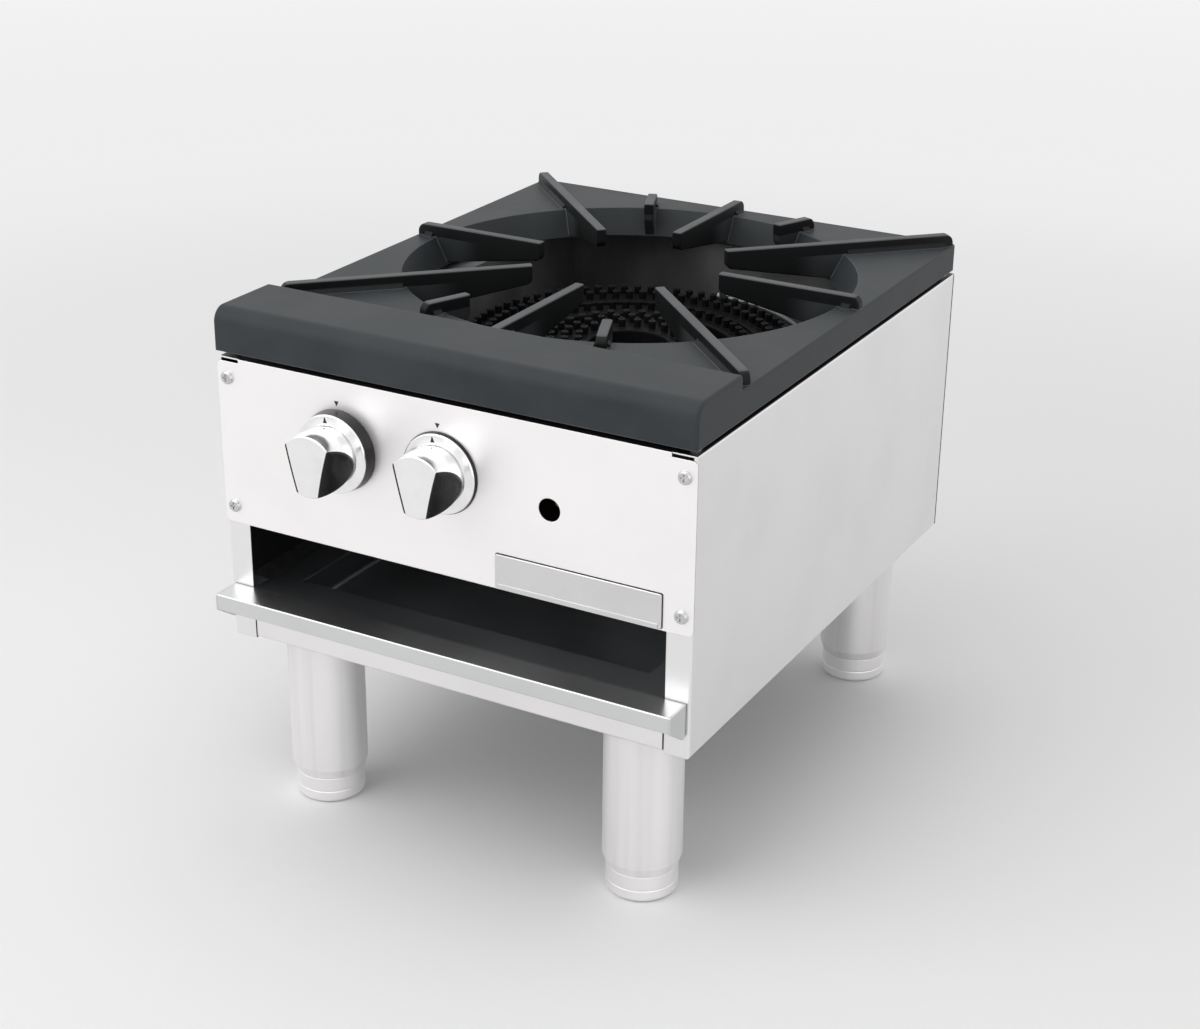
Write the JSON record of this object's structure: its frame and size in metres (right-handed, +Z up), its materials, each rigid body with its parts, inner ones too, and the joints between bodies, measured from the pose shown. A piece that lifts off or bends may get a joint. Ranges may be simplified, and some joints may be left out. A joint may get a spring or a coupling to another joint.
{
  "type": "stock pot range",
  "caption": "Low gas stock pot range: stainless box on adjustable round legs, one-piece cast grate over a two-ring burner, two knobs and a pull-out drip tray.",
  "frame": {"origin": "on the floor, under the middle of the whole range's outline from the knobs' faces to the gas inlet", "axes": "+Z up, +X to the user's right, +Y from the control panel towards the rear"},
  "size_m": [0.457, 0.622, 0.4675],
  "materials": {
    "stainless": "satin stainless sheet",
    "leg_steel": "satin plated steel",
    "shield_steel": "dark heat-stained sheet",
    "tray_steel": "polished stainless sheet",
    "frame_steel": "dull galvanised sheet",
    "cast_iron": "matte black casting",
    "burner_iron": "raw black casting",
    "black_pipe": "black lacquered pipe",
    "brass": "turned brass",
    "chrome": "bright plating",
    "grip_black": "matte black plastic",
    "screw_steel": "bright screws",
    "tube_aluminium": "drawn tube",
    "plate_aluminium": "satin plate"
  },
  "bodies": {
    "chassis": {"control_panel": "stainless", "side_panel_left": "stainless", "side_panel_right": "stainless", "rear_panel": "stainless", "front_channel": "stainless", "leg_gussets": "frame_steel", "leg_bolts": "screw_steel", "tray_runner_left": "frame_steel", "tray_runner_right": "frame_steel", "heat_shield_left": "shield_steel", "heat_shield_right": "shield_steel", "heat_shield_front": "shield_steel", "heat_shield_rear": "shield_steel", "burner_bar_front": "frame_steel", "burner_bar_middle": "frame_steel", "burner_bar_rear": "frame_steel", "grate_rests": "screw_steel", "nameplate": "plate_aluminium", "panel_screws": "screw_steel", "rear_screws": "screw_steel", "leg_front_left": "leg_steel", "leg_front_right": "leg_steel", "leg_rear_left": "leg_steel", "leg_rear_right": "leg_steel", "outer_burner": "burner_iron", "inner_burner": "burner_iron", "gas_manifold": "black_pipe", "gas_elbow": "black_pipe", "gas_inlet_pipe": "black_pipe", "manifold_brackets": "frame_steel", "outer_valve": "brass", "inner_valve": "brass", "outer_orifice": "brass", "inner_orifice": "brass", "pilot_valve": "brass", "pilot_tube": "tube_aluminium", "pilot_burner": "brass", "pilot_bracket": "frame_steel"},
    "grate": {"grate": "cast_iron"},
    "tray": {"drip_tray": "tray_steel", "tray_end_caps": "tray_steel"},
    "outer_knob": {"outer_knob_handle": "chrome", "outer_knob_grips": "grip_black", "outer_knob_skirt": "chrome", "outer_valve_stem": "brass"},
    "inner_knob": {"inner_knob_handle": "chrome", "inner_knob_grips": "grip_black", "inner_knob_skirt": "chrome", "inner_valve_stem": "brass"},
    "outer_shutter": {"outer_air_shutter": "frame_steel"},
    "inner_shutter": {"inner_air_shutter": "frame_steel"},
    "foot_fl": {"foot_front_left": "leg_steel"},
    "foot_fr": {"foot_front_right": "leg_steel"},
    "foot_rl": {"foot_rear_left": "leg_steel"},
    "foot_rr": {"foot_rear_right": "leg_steel"}
  },
  "joints": [
    {"name": "grate_lift", "type": "slide", "parent": "chassis", "child": "grate", "axis": [0, 0, 1], "range_m": [0, 0.12]},
    {"name": "tray_slide", "type": "slide", "parent": "chassis", "child": "tray", "axis": [0, -1, 0], "range_m": [0, 0.35]},
    {"name": "outer_knob_turn", "type": "hinge", "parent": "chassis", "child": "outer_knob", "pos_m": [-0.104, -0.264, 0.364], "axis": [0, -1, 0], "range_deg": [0, 90]},
    {"name": "inner_knob_turn", "type": "hinge", "parent": "chassis", "child": "inner_knob", "pos_m": [-0.0043, -0.264, 0.364], "axis": [0, -1, 0], "range_deg": [0, 90]},
    {"name": "outer_shutter_turn", "type": "hinge", "parent": "chassis", "child": "outer_shutter", "pos_m": [-0.104, -0.18, 0.364], "axis": [0, -1, 0], "range_deg": [0, 60]},
    {"name": "inner_shutter_turn", "type": "hinge", "parent": "chassis", "child": "inner_shutter", "pos_m": [-0.0043, -0.18, 0.364], "axis": [0, -1, 0], "range_deg": [0, 60]},
    {"name": "foot_fl_screw", "type": "slide", "parent": "chassis", "child": "foot_fl", "axis": [0, 0, -1], "range_m": [0, 0.025]},
    {"name": "foot_fr_screw", "type": "slide", "parent": "chassis", "child": "foot_fr", "axis": [0, 0, -1], "range_m": [0, 0.025]},
    {"name": "foot_rl_screw", "type": "slide", "parent": "chassis", "child": "foot_rl", "axis": [0, 0, -1], "range_m": [0, 0.025]},
    {"name": "foot_rr_screw", "type": "slide", "parent": "chassis", "child": "foot_rr", "axis": [0, 0, -1], "range_m": [0, 0.025]}
  ]
}
